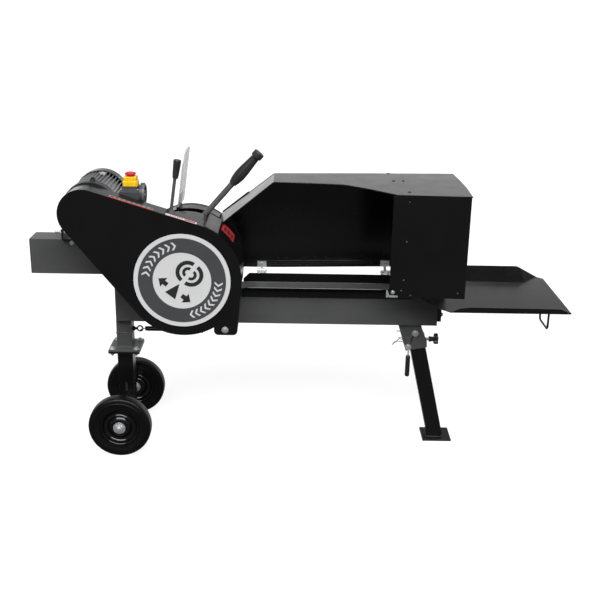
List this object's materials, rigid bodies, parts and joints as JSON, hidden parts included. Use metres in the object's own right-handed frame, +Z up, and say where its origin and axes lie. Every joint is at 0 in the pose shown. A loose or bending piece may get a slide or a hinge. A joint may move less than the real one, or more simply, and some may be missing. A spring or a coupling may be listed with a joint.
{
  "type": "log splitter",
  "caption": "Horizontal flywheel log splitter: motor and belt cover at one end, rack-driven pusher, wedge under a hinged hood, outfeed table, transport wheels and folding leg.",
  "frame": {"origin": "middle of the bounding box at the ground, where the wheels and the foot stand", "axes": "+Z up; +X along the beam from the motor end to the outfeed table; +Y across, away from the operator's side"},
  "size_m": [1.669, 0.4096, 0.9691],
  "materials": {
    "frame_grey": "grey powder coat, fine texture, semi-gloss",
    "black_coat": "black powder coat, semi-gloss",
    "zinc": "bright zinc plating, slightly uneven",
    "bright_steel": "machined steel with a light oil film",
    "cast_iron": "dark cast iron, machined rims",
    "motor_grey": "dark grey painted aluminium casting, ribbed",
    "tyre_rubber": "matt black rubber",
    "belt_rubber": "matt ribbed belt rubber",
    "black_plastic": "fine grained moulding",
    "grip_rubber": "dark grey soft grip, matt",
    "lever_steel": "dark grey coated rod",
    "yellow_plastic": "yellow moulding with ribs",
    "red_plastic": "red push button",
    "clear_sheet": "clear polycarbonate sheet, light haze"
  },
  "bodies": {
    "frame": {"lower_beam": "frame_grey", "rack_housing": "frame_grey", "lever_bracket": "frame_grey", "lever_stop_bridge": "frame_grey", "axle_mount": "frame_grey", "leg_bracket": "frame_grey", "cradle_near": "black_coat", "cradle_far": "black_coat", "outfeed_table": "black_coat", "table_handle": "black_coat", "belt_cover": "black_coat", "cover_back_plate": "black_coat", "near_flywheel_guard": "black_coat", "far_flywheel_guard": "black_coat", "eye_bolt": "black_coat", "motor_fan_cover": "black_coat", "motor_base": "black_coat", "switch_bracket": "black_coat", "wheel_leg": "black_coat", "return_spring": "black_coat", "axle": "zinc", "pivot_bolt": "zinc", "hinge_left_lower": "zinc", "hinge_right_lower": "zinc", "splitting_wedge": "bright_steel", "near_bearing": "cast_iron", "far_bearing": "cast_iron", "motor_body": "motor_grey", "motor_front_bell": "motor_grey", "drive_belt": "belt_rubber", "housing_end_cap": "black_plastic", "switch_box": "black_plastic", "power_inlet": "black_plastic", "hand_shield": "clear_sheet"},
    "hood": {"hood_top": "black_coat", "hood_back_wall": "black_coat", "hood_side_panel": "black_coat", "hinge_left_upper": "zinc", "hinge_right_upper": "zinc"},
    "support_leg": {"support_leg": "black_coat"},
    "lock_pin": {"lock_pin": "zinc"},
    "clamp_knob": {"clamp_knob": "black_plastic"},
    "near_wheel": {"near_tyre": "tyre_rubber", "near_rim": "black_coat"},
    "far_wheel": {"far_tyre": "tyre_rubber", "far_rim": "black_coat"},
    "flywheel_set": {"pinion_shaft": "bright_steel", "near_flywheel": "cast_iron", "far_flywheel": "cast_iron", "driven_pulley": "cast_iron"},
    "motor_rotor": {"motor_shaft": "bright_steel", "cooling_fan": "black_plastic"},
    "ram": {"rack": "bright_steel", "pusher_plate": "cast_iron"},
    "engage_lever": {"engage_lever": "lever_steel", "engage_grip": "grip_rubber"},
    "safety_lever": {"safety_lever": "lever_steel", "safety_grip": "grip_rubber"},
    "switch_lid": {"switch_lid": "yellow_plastic"},
    "stop_button": {"stop_button": "red_plastic"}
  },
  "joints": [
    {"name": "flywheel_spin", "type": "hinge", "parent": "frame", "child": "flywheel_set", "pos_m": [-0.3405, 0.01475, 0.602], "axis": [0, 1, 0], "continuous": true},
    {"name": "motor_spin", "type": "hinge", "parent": "frame", "child": "motor_rotor", "pos_m": [-0.6245, 0.01475, 0.794], "axis": [0, 1, 0], "continuous": true},
    {"name": "ram_slide", "type": "slide", "parent": "frame", "child": "ram", "axis": [1, 0, 0], "range_m": [0, 0.48], "stiffness_N_per_m": 60, "springref_m": -0.1},
    {"name": "engage_lever_pull", "type": "hinge", "parent": "frame", "child": "engage_lever", "pos_m": [-0.3375, -0.00525, 0.703], "axis": [0, -1, 0], "range_deg": [0, 35], "stiffness_Nm_per_rad": 1.5, "springref_deg": -22.92},
    {"name": "safety_lever_pull", "type": "hinge", "parent": "frame", "child": "safety_lever", "pos_m": [-0.4005, -0.00525, 0.708], "axis": [0, -1, 0], "range_deg": [0, 25], "stiffness_Nm_per_rad": 0.8, "springref_deg": -22.92},
    {"name": "near_wheel_spin", "type": "hinge", "parent": "frame", "child": "near_wheel", "pos_m": [-0.5535, -0.14625, 0.1], "axis": [0, 1, 0], "continuous": true},
    {"name": "far_wheel_spin", "type": "hinge", "parent": "frame", "child": "far_wheel", "pos_m": [-0.5535, 0.17575, 0.1], "axis": [0, 1, 0], "continuous": true},
    {"name": "leg_fold", "type": "hinge", "parent": "frame", "child": "support_leg", "pos_m": [0.3925, 0.01475, 0.38], "axis": [0, 1, 0], "range_deg": [0, 98]},
    {"name": "lock_pin_pull", "type": "slide", "parent": "frame", "child": "lock_pin", "axis": [0, -1, 0], "range_m": [0, 0.06]},
    {"name": "clamp_knob_turn", "type": "hinge", "parent": "frame", "child": "clamp_knob", "pos_m": [0.4465, 0.01475, 0.35], "axis": [-1, 0, 0], "range_deg": [0, 720]},
    {"name": "hood_open", "type": "hinge", "parent": "frame", "child": "hood", "pos_m": [0.0965, 0.12075, 0.545], "axis": [-1, 0, 0], "range_deg": [0, 90]},
    {"name": "switch_lid_open", "type": "hinge", "parent": "frame", "child": "switch_lid", "pos_m": [-0.524, -0.06925, 0.8652], "axis": [0, -1, 0], "range_deg": [0, 95]},
    {"name": "stop_button_press", "type": "slide", "parent": "switch_lid", "child": "stop_button", "axis": [0, 0, -1], "range_m": [0, 0.004], "stiffness_N_per_m": 700, "springref_m": -0.002}
  ],
  "couplings": [
    {"joint": "motor_spin", "follows": "flywheel_spin", "ratio": 3.5}
  ]
}
